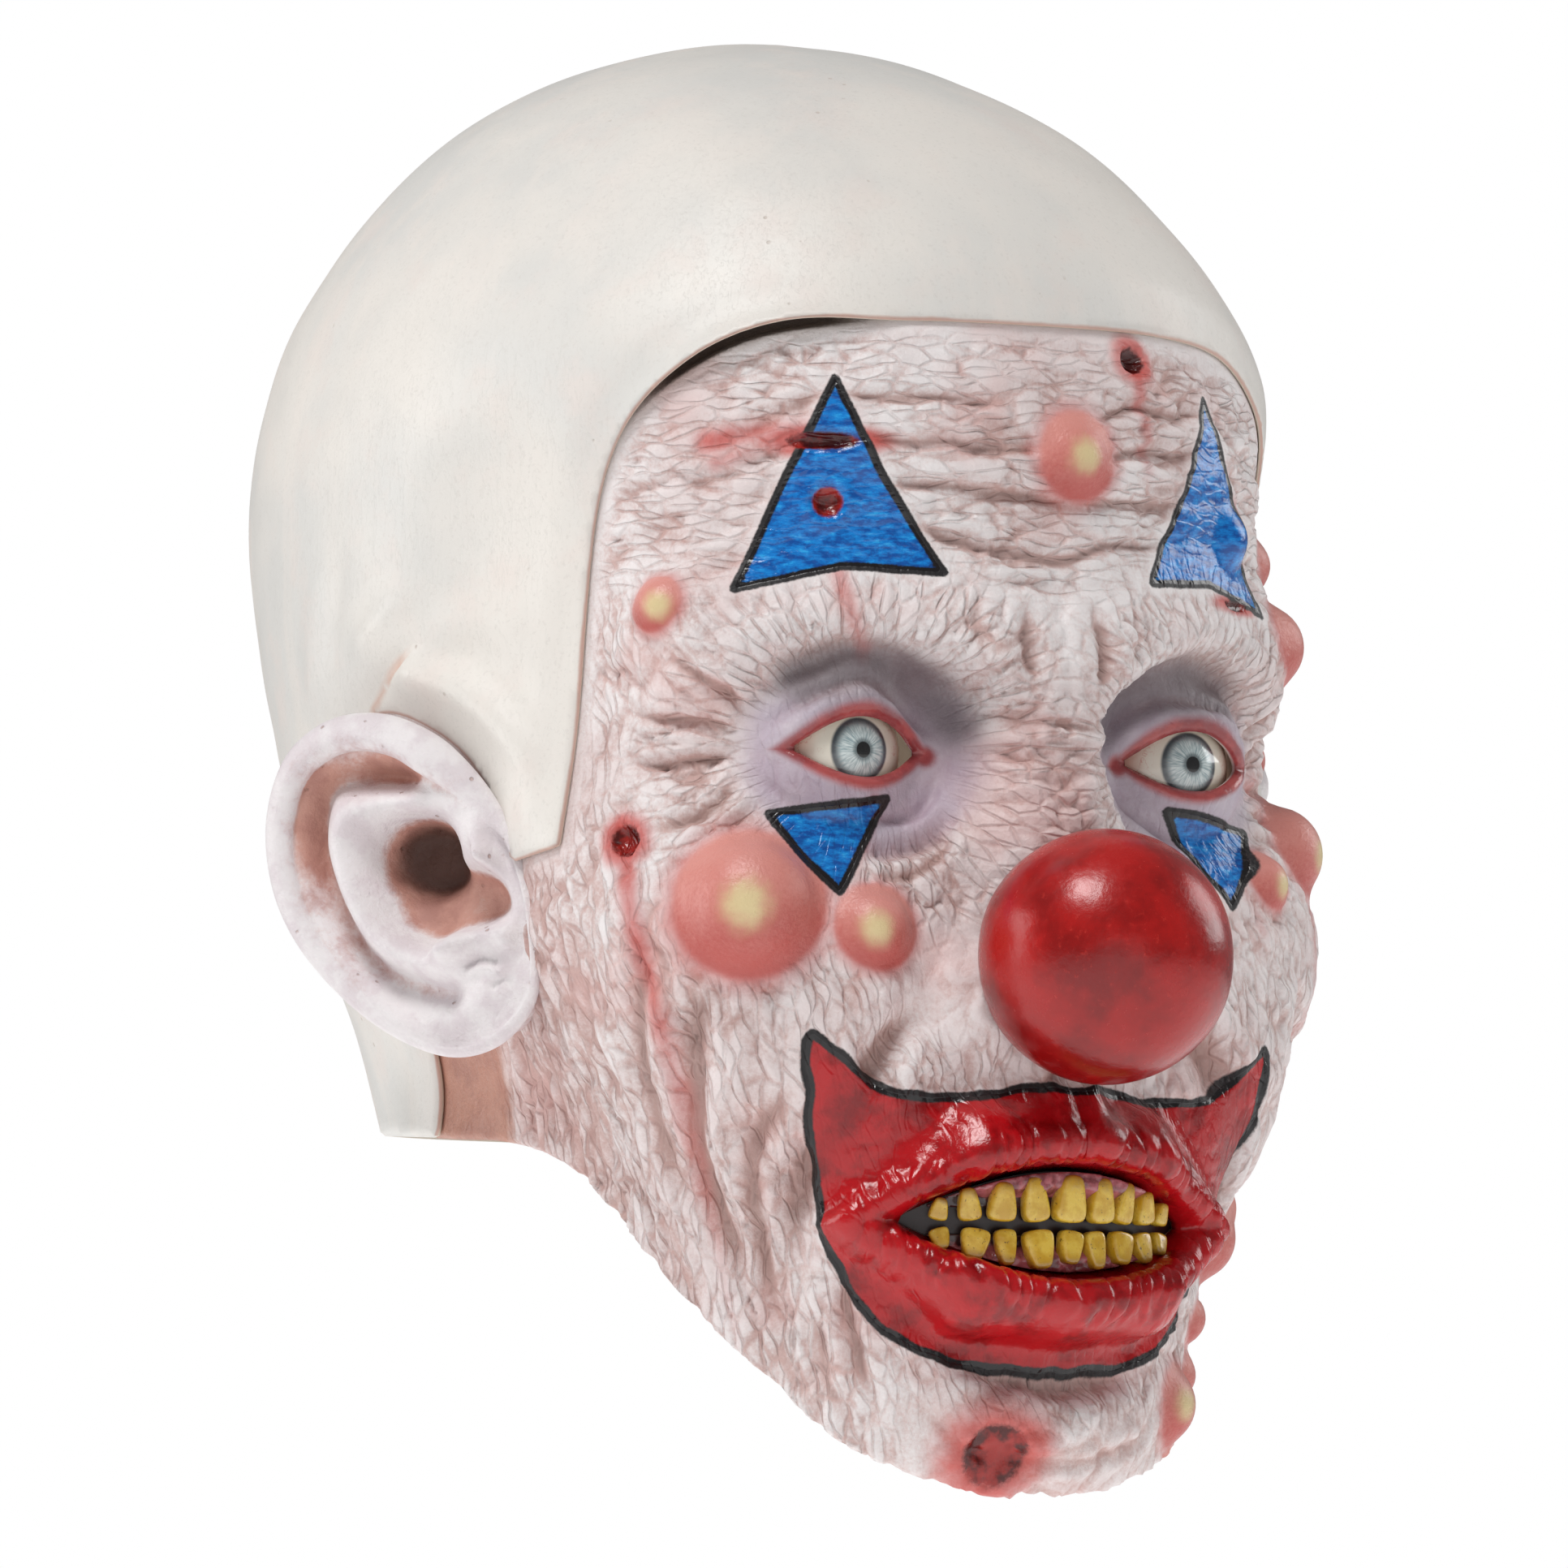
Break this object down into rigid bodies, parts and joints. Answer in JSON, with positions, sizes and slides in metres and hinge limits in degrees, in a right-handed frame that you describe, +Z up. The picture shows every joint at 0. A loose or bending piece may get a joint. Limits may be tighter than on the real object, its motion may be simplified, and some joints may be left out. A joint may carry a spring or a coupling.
{
  "type": "full-head clown mask",
  "caption": "Full-head latex clown mask with a bald cap, ears, ball nose, open toothy mouth and an open neck to pull it on by.",
  "frame": {"origin": "inside of the cap's crown, where it rests on the wearer's head", "axes": "+Z up through the crown, -Y out of the face, +X to the wearer's left"},
  "size_m": [0.2126, 0.2556, 0.2844],
  "materials": {
    "painted_latex": "satin white paint over pink latex",
    "cap_latex": "satin off-white latex",
    "red_gloss": "gloss red paint",
    "eye_gloss": "gloss",
    "tooth_gloss": "gloss yellow with pink gums",
    "black_gloss": "gloss"
  },
  "bodies": {
    "root": {"face_skin": "painted_latex", "bald_cap": "cap_latex", "ball_nose": "red_gloss", "left_eye": "eye_gloss", "right_eye": "eye_gloss", "mouth_plate": "black_gloss", "upper_teeth": "tooth_gloss", "lower_teeth": "tooth_gloss"}
  },
  "joints": []
}
